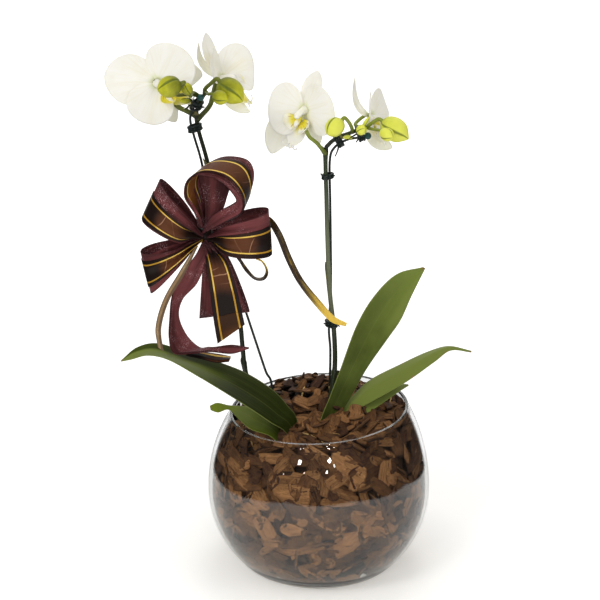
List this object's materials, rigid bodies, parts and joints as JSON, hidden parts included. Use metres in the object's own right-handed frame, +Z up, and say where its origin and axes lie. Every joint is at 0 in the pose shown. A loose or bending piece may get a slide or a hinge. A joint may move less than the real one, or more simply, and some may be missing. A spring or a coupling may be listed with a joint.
{
  "type": "potted orchid",
  "caption": "White moth orchid with two staked flower spikes, planted in bark chips in a clear round glass bowl, with a striped ribbon bow tied to one spike.",
  "frame": {"origin": "centre of the bowl's round foot, on the surface it stands on", "axes": "+Z up along the bowl's axis; the bow faces -Y; +X to the right as seen from the front"},
  "size_m": [0.3188, 0.2, 0.4857],
  "materials": {
    "bowl_glass": "clear polished glass, blown and slightly uneven, with a rounded rim",
    "bark": "dry rough conifer bark chips, red-brown with dark gaps and pale torn edges",
    "roots": "matt grey-green living root skin",
    "leaf": "thick semi-gloss green leaf with a grooved midrib",
    "stem": "smooth semi-gloss green stem, darker towards its tip",
    "petal": "soft satin white petal with fine radiating veins",
    "lip": "waxy cream lip with yellow edges and maroon lines",
    "bud": "waxy lime bud with fine seams",
    "stake": "dark coated wire with a teal ball end",
    "clip": "dark green-black moulded plastic",
    "ribbon": "sheer burgundy woven ribbon under a dark satin one",
    "striped_ribbon": "dark brown satin with two gold stripes",
    "gold_ribbon": "thin glossy gold ribbon with brown edges"
  },
  "bodies": {
    "root": {"glass_bowl": "bowl_glass", "bark_bed": "bark", "crown_with_roots": "roots", "leaf_left_large": "leaf", "leaf_left_small": "leaf", "leaf_right_tall": "leaf", "leaf_right_low": "leaf", "leaf_right_under": "leaf", "spike_left": "stem", "spike_right": "stem", "stake_left": "stake", "stake_right": "stake", "clip_left_upper": "clip", "clip_left_top": "clip", "clip_right_low": "clip", "clip_right_upper": "clip", "clip_right_bend": "clip", "clip_right_tip": "clip", "flower_far_left_sepal_upper": "petal", "flower_far_left_sepal_lower_a": "petal", "flower_far_left_sepal_lower_b": "petal", "flower_far_left_petal_a": "petal", "flower_far_left_petal_b": "petal", "flower_far_left_lip": "lip", "flower_left_sepal_upper": "petal", "flower_left_sepal_lower_a": "petal", "flower_left_sepal_lower_b": "petal", "flower_left_petal_a": "petal", "flower_left_petal_b": "petal", "flower_left_lip": "lip", "flower_middle_sepal_upper": "petal", "flower_middle_sepal_lower_a": "petal", "flower_middle_sepal_lower_b": "petal", "flower_middle_petal_a": "petal", "flower_middle_petal_b": "petal", "flower_middle_lip": "lip", "flower_right_sepal_upper": "petal", "flower_right_sepal_lower_a": "petal", "flower_right_sepal_lower_b": "petal", "flower_right_petal_a": "petal", "flower_right_petal_b": "petal", "flower_right_lip": "lip", "bud_left_outer": "bud", "bud_left_small": "bud", "bud_left_large": "bud", "bud_left_front": "bud", "bud_right_round": "bud", "bud_right_large": "bud", "bud_right_front": "bud", "bow_knot": "ribbon", "bow_loop_upper_left": "ribbon", "bow_loop_lower_left": "ribbon", "bow_loop_bottom": "ribbon", "bow_loop_right": "ribbon", "bow_loop_top": "ribbon", "bow_tail_left": "ribbon", "bow_tail_striped": "striped_ribbon", "curl_left": "gold_ribbon", "curl_right": "gold_ribbon", "curl_loop": "gold_ribbon"}
  },
  "joints": []
}
